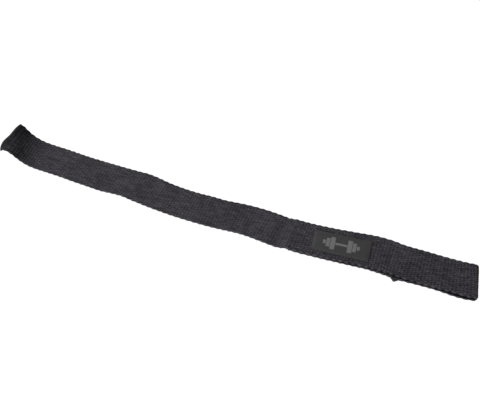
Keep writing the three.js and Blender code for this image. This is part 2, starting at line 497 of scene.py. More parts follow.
@dataclass
class Loft:
    """Closed band over a grid of points: rows along it, and the section's columns round it.

    The sides fill a share of the bake map inside a margin. The two ends lie beside them, one beside the
    other.
    """

    name: str
    section: Section
    points: np.ndarray
    run: np.ndarray
    normals: np.ndarray
    marks: dict[str, np.ndarray] = field(default_factory=dict)
    map_margin: float = 0.01
    sides_share: tuple[float, float] = (0.9, 0.98)
    ends_place: tuple[float, float] = (0.93, 0.5)
    ends_share: tuple[float, float] = (0.02, 0.9)
    ends_apart: float = 0.03

    def faces(self) -> tuple[np.ndarray, np.ndarray, np.ndarray]:
        """Corner numbers of the faces.

        Returns:
            Quads round the band, and the quads and triangles of the two ends, each end a ladder of strips
            from the top to the underside.
        """
        rows, ring = self.points.shape[:2]
        row = np.arange(rows - 1)[:, None] * ring
        here = np.arange(ring)[None, :]
        following = (here + 1) % ring
        sides = np.stack([row + here, row + ring + here, row + ring + following, row + following], axis=-1)
        half = self.section.edge_steps // 2
        mirror = 2 * self.section.columns + self.section.edge_steps
        first = np.arange(-half, self.section.columns + half + 1)
        upper = first % ring
        lower = (mirror - first) % ring
        rungs = np.stack([upper[1:-2], upper[2:-1], lower[2:-1], lower[1:-2]], axis=-1)
        tips = np.array([[upper[0], upper[1], lower[1]], [upper[-2], upper[-1], lower[-2]]])
        last = (rows - 1) * ring
        quads = np.concatenate([rungs, rungs[:, ::-1] + last])
        triangles = np.concatenate([tips, tips[:, ::-1] + last])
        return sides.reshape(-1, 4), quads, triangles

    def corner_maps(self, quads: np.ndarray, triangles: np.ndarray) -> tuple[np.ndarray, np.ndarray]:
        """Places of the faces' corners on the two maps.

        The sides are unrolled: the distance round the ring and the run are spread over the bake map, and
        are millimetres on the weave map.

        Args:
            quads: The ends' quads.
            triangles: The ends' triangles.

        Returns:
            The corners on the bake map and on the weave map.
        """
        rows, ring = self.points.shape[:2]
        arc = np.append(self.section.shape["arc"], self.section.perimeter)
        number = np.arange(rows - 1)[:, None, None] + np.array([0, 1, 1, 0])
        column = np.arange(ring)[None, :, None] + np.array([0, 0, 1, 1])
        number, column = np.broadcast_arrays(number, column)
        along = (self.run - self.run[0]) / (self.run[-1] - self.run[0])
        spread = np.stack([arc[column] / arc[-1], along[number]], axis=-1)
        bake = self.map_margin + np.array(self.sides_share) * spread
        weave = np.stack([self.run[number], arc[column]], axis=-1)
        shape = self.section.shape
        corners = np.concatenate([quads.ravel(), triangles.ravel()])
        end = corners // ring
        across = (shape["core"] + shape["edge"])[corners % ring]
        height = shape["height"][corners % ring]
        inside = np.stack([height / self.section.thickness + 0.5, across / self.section.width], axis=-1)
        caps = np.array(self.ends_place) + np.array(self.ends_share) * inside
        caps[:, 0] += self.ends_apart * (end > 0)
        ends = np.stack([self.run[np.minimum(end, rows - 1)] + height, across], axis=-1)
        return np.concatenate([bake.reshape(-1, 2), caps]), np.concatenate([weave.reshape(-1, 2), ends])

    def build(self) -> bpy.types.Object:
        """Makes the mesh object, with its maps, marks and normals."""
        sides, quads, triangles = self.faces()
        bake, weave = self.corner_maps(quads, triangles)
        totals = np.concatenate([np.full(len(sides) + len(quads), 4), np.full(len(triangles), 3)])
        corners = np.concatenate([sides.ravel(), quads.ravel(), triangles.ravel()])
        mesh = solid_mesh(self.name, self.points.reshape(-1, 3), corners, totals)
        add_map(mesh, BAKE_MAP, bake)
        add_map(mesh, WEAVE_MAP, weave)
        for mark, values in self.marks.items():
            layer = mesh.attributes.new(mark, "FLOAT", "POINT")
            layer.data.foreach_set("value", np.ascontiguousarray(values, np.float32).ravel())
        mesh.normals_split_custom_set_from_vertices(self.normals.reshape(-1, 3).tolist())
        return shown_object(self.name, mesh)


def solid_mesh(name: str, points: np.ndarray, corners: np.ndarray, totals: np.ndarray) -> bpy.types.Mesh:
    """Mesh from whole arrays.

    Args:
        name: Name of the mesh.
        points: Vertices in millimetres, one a row.
        corners: Vertex numbers of all the faces, one face after another.
        totals: Number of corners of each face.

    Returns:
        The smooth-shaded mesh in metres.
    """
    mesh = bpy.data.meshes.new(name)
    mesh.vertices.add(len(points))
    mesh.vertices.foreach_set("co", np.ascontiguousarray(points * MM, np.float32).ravel())
    mesh.loops.add(len(corners))
    mesh.loops.foreach_set("vertex_index", np.ascontiguousarray(corners, np.int32))
    mesh.polygons.add(len(totals))
    starts = np.concatenate([[0], np.cumsum(totals)[:-1]])
    mesh.polygons.foreach_set("loop_start", np.ascontiguousarray(starts, np.int32))
    mesh.polygons.foreach_set("use_smooth", np.ones(len(totals), bool))
    mesh.update(calc_edges=True)
    mesh.validate()
    return mesh


def add_map(mesh: bpy.types.Mesh, name: str, corners: np.ndarray) -> None:
    """Adds a UV map whose values are given for each corner of the faces."""
    layer = mesh.uv_layers.new(name=name)
    layer.data.foreach_set("uv", np.ascontiguousarray(corners, np.float32).ravel())


def shown_object(name: str, mesh: bpy.types.Mesh) -> bpy.types.Object:
    """Object at the origin that shows a mesh."""
    shown = bpy.data.objects.new(name, mesh)
    bpy.context.scene.collection.objects.link(shown)
    return shown


def grid_normals(points: np.ndarray) -> np.ndarray:
    """Outward directions on a closed grid.

    Each is the cross product of the slope along the rows and the slope round the ring, at unit length.

    Args:
        points: Grid of points: rows, columns round the ring, and 3.

    Returns:
        The directions, in the shape of points.
    """
    along = np.gradient(points, axis=0)
    around = np.roll(points, -1, axis=1) - np.roll(points, 1, axis=1)
    out = np.cross(along, around)
    return out / np.maximum(np.linalg.norm(out, axis=-1, keepdims=True), 1e-9)


@dataclass(frozen=True)
class Seam:
    """Straight row of lockstitches between two places, given as distances along and across the strap."""

    start: tuple[float, float]
    end: tuple[float, float]
    pitch: float = 3.6
    depth: float = 0.3
    reach: float = 0.75
    swing: float = 0.17

    @property
    def length(self) -> float:
        """Length of the row."""
        return math.dist(self.start, self.end)

    @property
    def count(self) -> int:
        """Number of stitches in the row."""
        return max(1, round(self.length / self.pitch))

    def dent(self, place: np.ndarray, across: np.ndarray) -> np.ndarray:
        """Depth to which the row pulls the surface in.

        It is a bell across the row. Along the row its depth swings about its mean, with the whole depth at
        each needle hole.

        Args:
            place: Places along the strap.
            across: Places across the strap.

        Returns:
            The depths in millimetres.
        """
        first = np.array(self.start)
        ahead = (np.array(self.end) - first) / self.length
        walked = (place - first[0]) * ahead[0] + (across - first[1]) * ahead[1]
        beside = (place - first[0]) * ahead[1] - (across - first[1]) * ahead[0]
        beyond = walked - np.clip(walked, 0.0, self.length)
        holes = 1.0 - self.swing * (1.0 - np.cos(2 * np.pi * walked * self.count / self.length))
        return self.depth * holes * np.exp(-(beside**2 + beyond**2) / self.reach**2)


@dataclass(frozen=True)
class Weave:
    """Warp-faced plain weave: each warp yarn bulges once a repeat, half a repeat behind its neighbour."""

    repeat: float = 6.4
    depth: float = 0.42
    sink: float = 0.3
    resting_sink: float = 0.42
    scallop: float = 0.3
    rib: float = 0.17
    drift: float = 0.05
    drift_length: float = 19.0
    drift_lag: float = 2.3
    skew: float = 0.16
    skew_length: float = 71.0
    yarn_power: float = 2.4
    held: float = 0.3
    unevenness: float = 0.28
    tone_shares: tuple[float, float, float] = (0.7, 0.17, 0.13)
    spare: int = 4
    seed: int = 11

    def relief(self, run: np.ndarray, section: Section) -> tuple[np.ndarray, np.ndarray]:
        """Height and tone of the weave on a grid of rows and columns.

        Across a yarn the height is 1 less a power of the distance from its middle. Along it, it is the
        held height and the raised cosine of the phase, which is the run over the repeat, plus half for
        every second yarn, with a slow drift and skew. A rib's groove is the raised cosine of twice the
        phase. Each bulge has its own strength. The tone has shares for each bulge, each weft pick and each
        yarn. The round edges add scallops. A few spare cells keep the numbers of the cells over 0.

        Args:
            run: Runs of the rows.
            section: Section that gives the columns.

        Returns:
            The height over the plain surface in millimetres, and the tone from 0 to 1.
        """
        shape = section.shape
        yarn = shape["yarn"][None, :]
        row = run[:, None]
        across = (shape["core"] / section.flat)[None, :]
        phase = row / self.repeat + 0.5 * (yarn % 2)
        phase = phase + self.drift * np.sin(row / self.drift_length + self.drift_lag * yarn)
        phase = phase + self.skew * np.sin(row / self.skew_length) * across
        bulge = 0.5 + 0.5 * np.cos(2 * np.pi * phase)
        cell = np.floor(phase + 0.5).astype(int) + self.spare
        random = np.random.default_rng(self.seed)
        table = random.random((2 * section.yarns + 2, int(cell.max()) + 2, 2))
        strength = 1.0 - self.unevenness * table[yarn, cell, 0]
        weft = np.floor(2.0 * (phase - 0.5 * (yarn % 2))).astype(int) + self.spare
        picks = random.random(int(weft.max()) + 2)[weft]
        streaks = random.random(2 * section.yarns + 2)[yarn]
        by_bulge, by_pick, by_yarn = self.tone_shares
        tone = by_bulge * table[yarn, cell, 1] + by_pick * picks + by_yarn * streaks
        width = 1.0 - np.abs(2.0 * shape["place"] - 1.0) ** self.yarn_power
        height = self.depth * width * (self.held + (1.0 - self.held) * bulge * strength)
        height = height - self.rib * (0.5 - 0.5 * np.cos(4 * np.pi * phase)) * ~shape["round"]
        edge = self.scallop * (bulge - 0.5) * np.sin(np.pi * shape["place"])
        sink = np.where(shape["under"], self.resting_sink, self.sink)
        return height - sink + np.where(shape["round"], edge, 0.0), tone


@dataclass(frozen=True)
class CutEnd:
    """Bound end of the tail: a thin rim with fine wraps, and a near corner that hooks down."""

    length: float = 1.6
    swelling: float = 0.45
    overhang: float = 0.12
    nose: float = 0.8
    ramp: float = 8.0
    # Place and reach of the painted shade line just inside the rim.
    valley_place: float = 3.4
    valley_reach: float = 2.0
    wrap_pitch: float = 0.9
    wrap_depth: float = 0.11
    wrap_slant: float = 0.25
    hook_forward: float = 1.4
    hook_drop: float = 1.0
    hook_reach: float = 3.6
    hook_span: tuple[float, float] = (0.7, 1.8)
    corner: float = 1.4
    closed: float = 0.12
    wrap_mean: float = 0.6
    plain_span: tuple[float, float] = (0.3, 1.8)
    # Where the painted light on the rim starts, its least share at the front edge, and its span across.
    rim_start: float = 0.4
    rim_least: float = 0.2
    rim_span: tuple[float, float] = (-8.0, 10.0)

    def shape(self, run: np.ndarray, section: Section) -> dict[str, np.ndarray]:
        """How the end changes the plain band.

        The band thickens towards the cut by the swelling over the ramp, and closes at the cut by a quarter
        circle. The wraps are ridges on the rim: the absolute sine of the distance across over the pitch,
        less its mean. The hook's span is in shares of the rim's length, and the plain span in millimetres
        behind the rim. The rim mark is painted light, the rim lit paler where the light falls: least at the
        front edge and rising over its span across. The shade line is painted shade just inside the rim.

        Args:
            run: Runs of the rows.
            section: Section that gives the columns.

        Returns:
            Arrays over rows and columns: close (share of the thickness that is left), outward (added along
            the outward direction), sideways (added to the distance from the middle line), hook (0 to 1 at
            the near corner), plain (0 on the rim to 1 where the weave has its whole height), rim (painted
            light on the rim) and valley (painted shade just inside the rim).
        """
        row = run[:, None]
        across = (section.shape["core"] + section.shape["edge"])[None, :]
        inside = np.clip(row / self.length, 0.0, 1.0)
        rim = np.sqrt(np.maximum(1.0 - (2.0 * inside - 1.0) ** 2, 0.0)) * (row < self.length)
        wraps = np.abs(np.sin(np.pi * (across + self.wrap_slant * row) / self.wrap_pitch)) - self.wrap_mean
        outward = self.swelling * (1.0 - rise(row, -self.ramp, self.ramp)) * 2 + rim * self.wrap_depth * wraps
        cut_back = self.corner * (1.0 - quarter(row / self.corner))
        sideways = self.overhang * (row < self.length) * rim**0.5 - cut_back
        hook_start, hook_end = (share * self.length for share in self.hook_span)
        plain_start, plain_end = (self.length + beyond for beyond in self.plain_span)
        # Painted light: the rim is lit paler, least at the front edge and most towards the back.
        rim_lighting = 1.0 - rise(row, self.length * self.rim_start, self.length)
        return {
            "close": quarter(row / self.nose, self.closed),
            "outward": outward,
            "sideways": sideways,
            "hook": rise(-across, section.width / 2 - self.hook_reach, section.width / 2)
            * (1.0 - rise(row, hook_start, hook_end)),
            "plain": rise(row, plain_start, plain_end),
            "rim": rim_lighting * (self.rim_least + (1.0 - self.rim_least) * rise(across, *self.rim_span)),
            # Painted shade: a dark line just inside the rim.
            "valley": np.broadcast_to(swell(row, self.valley_place, self.valley_reach), wraps.shape),
        }


@dataclass
class Webbing:
    """The one length of webbing, made as four closed pieces that meet face to face."""

    path: StrapPath
    seams: tuple[Seam, ...]
    weave: Weave = Weave()
    cut: CutEnd = CutEnd()
    yarns: int = 28
    steps: int = 4
    rows_in_repeat: int = 12
    fine_rows: int = 10
    fine_spacing: float = 0.22
    turned_round: float = 0.7
    breaks: tuple[float, ...] = (160.0, 342.4, 512.0)
    proud_edge: float = 0.2
    pressed: float = 0.16
    press_rise: float = 6.0
    press_fall: float = 15.0
    bare: float = 0.5
    # Depth of the painted shade line just inside the cut end's rim.
    valley_shade: float = 0.5
    back_wander: Curve = Curve(
        (0, 5, 12, 22, 45, 60, 90, 126, 150, 162, 174, 186, 200, 222)
        + (240, 258, 277, 310, 335, 375, 395, 417, 432, 442, 462, 481, 509, 518),
        (0.6, 1.0, 0.6, -0.1, -0.2, -0.2, -0.6, -0.6, 0.4, 1.4, 0.8, -0.5, -1.0, -0.5)
        + (0.2, -0.6, 0.3, 1.0, -0.3, -0.2, 0.6, 1.8, 1.4, 0.6, 1.1, 0.4, -0.4, 0),
    )
    front_wander: Curve = Curve(
        (0, 3, 8, 16, 45, 76, 100, 125, 137, 150, 162)
        + (186, 210, 230, 262, 285, 321, 345, 495, 509, 518),
        (-0.2, -0.5, -0.4, 0.1, 0.3, 0, 0.6, 1.3, 0.1, -0.8, 0.1)
        + (0.9, 0.4, -0.2, 0, -0.5, 0.6, 0, 0, 1.2, 1.0),
    )
    lower_front_wander: Curve = Curve(
        (335, 345, 357, 375, 395, 412, 422, 432, 445, 455, 465, 485, 500, 509, 518),
        (-0.6, -0.4, -0.4, 0, 0.3, 0.3, 1.1, 1.4, 0.8, 0.6, -0.1, -0.6, 0.5, 1.2, 1.0),
    )
    names: tuple[str, ...] = ("webbing_tail", "webbing_run", "webbing_eye_top", "webbing_eye_under")

    @cached_property
    def section(self) -> Section:
        """Section with four columns to a yarn."""
        return Section(self.path.width, self.path.thickness, self.yarns, self.steps)

    def rows(self) -> np.ndarray:
        """Runs of the rows: close together at the two ends, and even shares of a repeat between."""
        step = self.weave.repeat / self.rows_in_repeat
        fine = self.fine_rows * step
        start = np.linspace(0.0, fine, round(fine / self.fine_spacing) + 1)
        main = np.arange(self.fine_rows + 1, int(self.path.full_run / step) - 1) * step
        end = np.linspace(main[-1] + step, self.path.full_run, self.fine_rows)
        return np.concatenate([start, main, end])

    def dent(self, run: np.ndarray, across: np.ndarray) -> np.ndarray:
        """Depth to which the stitch rows pull in the outer faces of the sewn part."""
        place = self.path.place_of(run)[:, None]
        return sum(seam.dent(place, across[None, :]) for seam in self.seams)

    def wander(self, run: np.ndarray) -> np.ndarray:
        """How far each point moves across, because the edges of real webbing wander.

        Each edge has a table of how far it lies outside the plain one. A point moves by its edge's value
        times its share of the way from the middle line to that edge.

        Args:
            run: Runs of the rows.

        Returns:
            The moves, over rows and columns.
        """
        place = self.path.place_of(run)
        upper = self.front_wander.at(place)
        front = np.where(run < self.path.lower_start, upper, self.lower_front_wander.at(place))[:, None]
        back = self.back_wander.at(place)[:, None]
        share = (self.section.shape["core"] / self.section.flat)[None, :]
        return np.where(share > 0, back, front) * share

    def grid(self) -> tuple[np.ndarray, np.ndarray, dict[str, np.ndarray]]:
        """Points of the whole webbing.

        A point is the path's middle plus the section's place across and its height, moved along the
        section's outward direction by the weave, the bound end and the seams. Where the layers are sewn,
        their inner faces are pressed together. Near the cut, the rows follow the cut's line. Where there is
        no weave, the marks have their bare value.

        Returns:
            The runs, the points and the marks on the grid.
        """
        path, shape = self.path, self.section.shape
        run = self.rows()
        height, tone = self.weave.relief(run, self.section)
        end = self.cut.shape(run, self.section)
        left = np.clip((path.full_run - run) / self.turned_round, 0.0, 1.0)[:, None]
        close = end["close"] * quarter(left, self.cut.closed)
        narrow = ((path.width_at(run) - path.thickness) / (path.width - path.thickness))[:, None]
        plain = shape["core"] + shape["edge"]
        outer = np.where(shape["under"], 0.0, 1.0)[None, :]
        dents = self.dent(run, plain) * outer
        edge = self.proud_edge * np.abs(shape["side"])[None, :]
        walked = path.place_of(run)
        sewn = rise(walked, path.sewn_start - self.press_rise, path.sewn_start)
        sewn = sewn * (1.0 - rise(walked, path.eye_start, path.eye_start + self.press_fall))
        inner = self.pressed * sewn[:, None] * np.clip(-shape["lift"], 0.0, 1.0)[None, :]
        relief = (height + edge + inner) * end["plain"] * left**0.5 + end["outward"] - dents
        across = shape["core"] * narrow + shape["edge"] * close + shape["side"] * (relief + end["sideways"])
        lift = shape["height"] * close + shape["lift"] * relief * close
        across = across + self.wander(run) - self.cut.hook_forward * end["hook"]
        lift = lift - self.cut.hook_drop * end["hook"]
        beyond = path.cut_reach * path.cut_end.at(plain / (path.width / 2))
        place = run[:, None] - beyond * (1.0 - rise(run, 0.0, path.cut_blend))[:, None]
        points = path.at(place).point(across, lift)
        # The relief mark is partly painted shade, darker in the weave's valleys, and partly paler worn
        # crowns.
        level = (height + self.weave.sink) / self.weave.depth
        bare = self.bare * (1.0 - end["plain"])
        # The painted shade line inside the cut end's rim darkens the relief mark.
        relief_shade_mark = level * end["plain"] + bare - self.valley_shade * end["valley"]
        tone_mark = tone * end["plain"] + bare
        return run, points, {"relief": np.clip(relief_shade_mark, 0.0, 1.0), "tone": tone_mark, "rim": end["rim"]}

    def build(self) -> list[bpy.types.Object]:
        """Makes the four pieces, each between two breaks of the grid."""
        run, points, marks = self.grid()
        normals = grid_normals(points)
        cuts = [0, *(int(np.argmin(np.abs(run - place))) for place in self.breaks), len(run) - 1]
        made = []
        for name, first, last in zip(self.names, cuts[:-1], cuts[1:]):
            kept = slice(first, last + 1)
            held = {mark: values[kept] for mark, values in marks.items()}
            made.append(Loft(name, self.section, points[kept], run[kept], normals[kept], held).build())
        return made


@dataclass(frozen=True)
class Plate:
    """One bar of the label's motif, a weight plate or a handle seen from the side."""

    centre: float
    length: float
    height: float


@dataclass
class WovenLabel:
    """Woven label on the sewn part, with a plain motif of a bar and its weight plates.

    The motif is the same on both sides of its middle, so each plate is given once.
    """

    path: StrapPath
    length: float = 57.0
    width: float = 25.0
    thickness: float = 0.6
    lift: float = 0.3
    setback: float = 24.0
    forward: float = 1.0
    spacing: float = 0.25
    columns: int = 98
    steps: int = 2
    edge_steps: int = 4
    closed: float = 0.4
    border: float = 1.7
    pitch: float = 2.6
    pucker: float = 0.2
    pucker_reach: float = 0.8
    crown: float = 0.12
    crown_reach: float = 6.8
    droop: float = 0.45
    droop_reach: float = 2.0
    weave_height: float = 0.05
    motif_centre: float = -0.5
    plates: tuple[Plate, ...] = (
        Plate(0.0, 12.0, 2.6),
        Plate(8.6, 4.4, 15.0),
        Plate(13.2, 3.6, 10.5),
        Plate(17.0, 2.6, 4.6),
    )
    soft_edge: float = 0.2

    @property
    def end(self) -> float:
        """Place of the label's end beside the eye."""
        return self.path.eye_start - self.setback

    @property
    def start(self) -> float:
        """Place of the label's other end."""
        return self.end - self.length

    def border_seams(self) -> tuple[Seam, ...]:
        """The four rows of stitches round the label, inside its edge."""
        low, high = self.start + self.border, self.end - self.border
        side = self.width / 2 - self.border
        front, back = -side - self.forward, side - self.forward
        corners = ((low, front), (high, front), (high, back), (low, back), (low, front))
        sizes = (self.pitch, self.pucker, self.pucker_reach)
        return tuple(Seam(first, second, *sizes) for first, second in zip(corners, corners[1:]))

    def motif(self, place: np.ndarray, across: np.ndarray) -> np.ndarray:
        """Share of the motif's thread at places on the label.

        Each bar is 1 inside its rectangle and falls to 0 over the soft edge. The bars are joined by taking
        the highest.

        Args:
            place: Places along the strap.
            across: Places across the label, from its middle.

        Returns:
            The share from 0 to 1.
        """
        along = np.abs(place - (self.start + self.end) / 2 - self.motif_centre)
        share = np.zeros(np.broadcast(along, across).shape)
        for plate in self.plates:
            past_end = np.abs(along - plate.centre) - plate.length / 2
            beside = np.maximum(past_end, np.abs(across) - plate.height / 2)
            share = np.maximum(share, np.clip(0.5 - beside / self.soft_edge, 0.0, 1.0))
        return share

    def surface(self, place: np.ndarray, across: np.ndarray) -> np.ndarray:
        """Height of the label's top over its plain height.

        The middle is crowned, the edge droops over its reach, the border stitches pull in, and the motif
        stands up by its thread.

        Args:
            place: Places along the strap.
            across: Places across the label, from its middle.

        Returns:
            The height in millimetres.
        """
        reach = np.minimum(np.minimum(place - self.start, self.end - place), self.width / 2 - np.abs(across))
        crown = self.crown * rise(reach, self.border, self.crown_reach)
        droop = self.droop * (1.0 - rise(reach, 0.0, self.droop_reach))
        dents = sum(seam.dent(place, across - self.forward) for seam in self.border_seams())
        return crown - droop - dents + self.weave_height * self.motif(place, across)

    def build(self) -> bpy.types.Object:
        """Makes the label as a closed band over the webbing's upper frames."""
        section = Section(self.width, self.thickness, self.columns, self.steps, self.edge_steps)
        shape = section.shape
        run = np.linspace(self.start, self.end, round(self.length / self.spacing) + 1)
        across = (shape["core"] + shape["edge"])[None, :] + np.zeros((len(run), 1))
        place = run[:, None] + np.zeros_like(across)
        top = self.surface(place, np.clip(across, -self.width / 2, self.width / 2))
        under = np.minimum(top, 0.0)
        weight = (shape["height"] / self.thickness + 0.5)[None, :]
        way = np.minimum(run - self.start, self.end - run) / (self.thickness / 2)
        close = quarter(way, self.closed)[:, None]
        base = self.path.thickness / 2 + self.lift + self.thickness / 2
        lift = base + shape["height"] * close + top * weight + under * (1.0 - weight)
        points = self.path.at(place).point(across - self.forward, lift)
        marks = {"motif": self.motif(place, across) * shape["top"][None, :]}
        return Loft("label_cloth", section, points, run, grid_normals(points), marks).build()


@dataclass
class StitchRows:
    """Rows of thread that lie on one face, each stitch a short bowed length of thread."""

    name: str
    path: StrapPath
    seams: tuple[Seam, ...]
    face: Face
    label: WovenLabel
    radius: float = 0.24
    filled: float = 0.8
    bow: float = 0.2
    stations: int = 9
    sides: int = 8
    proud: float = 0.02
    bedded: float = 0.05
    buried: float = 0.35
    jitter: float = 0.12
    jitter_turn: float = 5.1
    tip_power: int = 5
    tip_least: float = 0.08
    tile_margin: float = 0.05
    tile_share: tuple[float, float] = (0.75, 0.9)
    cap_places: tuple[tuple[float, float], ...] = ((0.9, 0.25), (0.9, 0.75))
    cap_radius: float = 0.04
    station_length: float = 0.4
    stitch_offset: float = 4.0

    def face_height(self, place: np.ndarray, across: np.ndarray) -> np.ndarray:
        """Height of the face over the middle of the webbing's thickness, bedded a little on the webbing."""
        if self.face is Face.LABEL:
            base = self.path.thickness / 2 + self.label.lift + self.label.thickness
            return base + self.label.surface(place, across + self.label.forward)
        dents = sum(seam.dent(place, across) for seam in self.seams)
        return self.path.thickness / 2 - self.bedded - dents

    def centres(self, seam: Seam) -> tuple[np.ndarray, np.ndarray]:
        """Places along and across the strap of the stations on each stitch of a row.

        Args:
            seam: The row.

        Returns:
            Two arrays with a row for each stitch and a column for each station.
        """
        walk = (np.arange(seam.count)[:, None] + 0.5) / seam.count
        share = np.linspace(-0.5, 0.5, self.stations)[None, :] * self.filled / seam.count
        jitter = self.jitter * np.sin(self.jitter_turn * np.arange(seam.count))[:, None]
        jitter = jitter * np.linspace(-1, 1, self.stations)[None, :]
        ahead = (np.array(seam.end) - np.array(seam.start)) / seam.length
        place = seam.start[0] + (seam.end[0] - seam.start[0]) * (walk + share) + jitter * ahead[1]
        across = seam.start[1] + (seam.end[1] - seam.start[1]) * (walk + share) + jitter * ahead[0]
        return place, across

    def tubes(self, seam: Seam) -> np.ndarray:
        """Points of a row's stitches.

        A station's centre sinks from the stitch's middle to its ends by the bow times the square of its
        distance from the middle. Round it lies a circle whose radius closes towards the tips.

        Args:
            seam: The row.

        Returns:
            Points by stitch, station and side.
        """
        place, across = self.centres(seam)
        run = place
        if self.face is Face.UNDER:
            run = self.path.lower_start + self.path.fold_axis - place
        walk = np.linspace(-1.0, 1.0, self.stations)[None, :]
        lift = self.face_height(place, across) + self.proud - self.radius * self.buried - self.bow * walk**2
        frames = self.path.at(run)
        centre = frames.point(across, lift)
        ahead = np.gradient(centre, axis=1)
        ahead /= np.linalg.norm(ahead, axis=-1, keepdims=True)
        side = np.cross(frames.out, ahead)
        side /= np.linalg.norm(side, axis=-1, keepdims=True)
        up = np.cross(ahead, side)
        radius = np.maximum(1.0 - np.abs(walk) ** self.tip_power, self.tip_least) ** 0.5 * self.radius
        turn = 2 * np.pi * np.arange(self.sides) / self.sides
        circle = side[:, :, None, :] * np.cos(turn)[None, None, :, None]
        circle = circle + up[:, :, None, :] * np.sin(turn)[None, None, :, None]
        return centre[:, :, None, :] + circle * radius[:, :, None, None]

    def build(self) -> bpy.types.Object:
        """Makes one joined mesh of all the stitches, closed at both ends of each."""
        tubes = np.concatenate([self.tubes(seam) for seam in self.seams])
        count, stations, sides = tubes.shape[:3]
        first = np.arange(count)[:, None, None] * stations * sides
        base = first + np.arange(stations - 1)[None, :, None] * sides
        here = np.arange(sides)[None, None, :]
        after = (here + 1) % sides
        quads = np.stack([base + here, base + here + sides, base + sides + after, base + after], axis=-1)
        start = first[:, 0] + here[0]
        end = first[:, 0] + (stations - 1) * sides + here[0, :, ::-1]
        totals = np.concatenate([np.full(count * (stations - 1) * sides, 4), np.full(2 * count, sides)])
        corners = np.concatenate([quads[..., ::-1].ravel(), start.ravel(), end.ravel()])
        mesh = solid_mesh(self.name, tubes.reshape(-1, 3), corners, totals)
        self.map_stitches(mesh, count)
        return shown_object(self.name, mesh)

    def map_stitches(self, mesh: bpy.types.Mesh, count: int) -> None:
        """Gives each stitch a tile of the bake map, and millimetres along and round it on the weave map.

        The two ends of a stitch are small discs beside its side. On the weave map each stitch starts an
        offset after the one before, so that their grain differs.

        Args:
            mesh: The joined mesh.
            count: Number of stitches.
        """
        stations, sides = self.stations, self.sides
        tiles = math.ceil(math.sqrt(count))
        stitch = np.arange(count)
        tile = np.stack([stitch % tiles, stitch // tiles], axis=-1)
        station = np.arange(stations - 1)[None, :, None, None] + np.array([0, 1, 1, 0])[::-1]
        side = np.arange(sides)[None, None, :, None] + np.array([0, 0, 1, 1])[::-1]
        station, side = np.broadcast_arrays(station, side)
        inside = np.stack([side / sides, station / (stations - 1)], axis=-1) * np.array(self.tile_share)
        bake = ((tile[:, None, None, None, :] + self.tile_margin + inside) / tiles).reshape(-1, 2)
        girth = side * (2 * np.pi * self.radius / sides)
        start = self.stitch_offset * stitch[:, None, None, None, None] * np.array([1.0, 0.0])
        weave = np.stack([self.station_length * station, girth], axis=-1) + start
        turn = 2 * np.pi * np.arange(sides) / sides
        disc = np.stack([np.cos(turn), np.sin(turn)], axis=-1) * self.cap_radius
        caps = [
            ((tile[:, None, :] + np.array(place) + round_it[None]) / tiles).reshape(-1, 2)
            for place, round_it in zip(self.cap_places, (disc, disc[::-1]))
        ]
        add_map(mesh, BAKE_MAP, np.concatenate([bake, *caps]))
        add_map(mesh, WEAVE_MAP, np.concatenate([weave.reshape(-1, 2), np.zeros((2 * count * sides, 2))]))


@dataclass
class NodeBench:
    """Adds nodes to a tree and links them."""

    tree: bpy.types.NodeTree

    def add(self, kind: str, **settings: object) -> bpy.types.Node:
        """New node of a kind, with its settings."""
        node = self.tree.nodes.new(kind)
        for name, value in settings.items():
            setattr(node, name, value)
        return node

    def feed(self, socket: bpy.types.NodeSocket, value: object) -> None:
        """Links an output to an input, or sets the input to a plain value."""
        if isinstance(value, bpy.types.NodeSocket):
            self.tree.links.new(value, socket)
        else:
            socket.default_value = value

    def calc(self, operation: str, *values: object, clamp: bool = False) -> bpy.types.NodeSocket:
        """Result of a Math node.

        Args:
            operation: Name of the operation, such as MULTIPLY.
            values: Outputs or numbers, in the order of the node's inputs.
            clamp: Whether the result is kept from 0 to 1.

        Returns:
            The node's output.
        """
        node = self.add("ShaderNodeMath", operation=operation, use_clamp=clamp)
        for socket, value in zip(node.inputs, values):
            self.feed(socket, value)
        return node.outputs[0]

    def weigh(self, start: float, *terms: tuple[object, float]) -> bpy.types.NodeSocket:
        """Start value plus each value times its weight, kept from 0 to 1 at the last one."""
        total: object = start
        for number, (value, weight) in enumerate(terms, start=1):
            total = self.calc("MULTIPLY_ADD", value, weight, total, clamp=number == len(terms))
        return total

    def wave(self, value: object) -> bpy.types.NodeSocket:
        """Sine of a value, moved into the range from 0 to 1."""
        return self.calc("MULTIPLY_ADD", self.calc("SINE", value), 0.5, 0.5)

    def blend(self, share: object, first: object, second: object) -> bpy.types.NodeSocket:
        """Colour between two colours by a share."""
        node = self.add("ShaderNodeMix", data_type="RGBA")
        self.feed(node.inputs["Factor"], share)
        self.feed(node.inputs["A"], first)
        self.feed(node.inputs["B"], second)
        return node.outputs["Result"]

    def noise(self, vector: object, scale: object, detail: float = 2.0) -> bpy.types.NodeSocket:
        """Value of a noise pattern, about 0.5 on average."""
        node = self.add("ShaderNodeTexNoise", noise_dimensions="2D")
        self.feed(node.inputs["Vector"], vector)
        self.feed(node.inputs["Scale"], scale)
        node.inputs["Detail"].default_value = detail
        return node.outputs["Fac"]


def open_group(name: str, sizes: dict[str, float], outputs: tuple[str, ...]) -> bpy.types.NodeTree:
    """Empty shader node group with a place and named sizes as its inputs, and named outputs.

    Args:
        name: Name of the group.
        sizes: For each input but the place its value when nothing is linked.
        outputs: Names of the outputs, which are all single values.

    Returns:
        The group.
    """
    group = bpy.data.node_groups.new(name, "ShaderNodeTree")
    group.interface.new_socket("Place", in_out="INPUT", socket_type="NodeSocketVector")
    for label, value in sizes.items():
        socket = group.interface.new_socket(label, in_out="INPUT", socket_type="NodeSocketFloat")
        socket.default_value = value
    for label in outputs:
        group.interface.new_socket(label, in_out="OUTPUT", socket_type="NodeSocketFloat")
    return group


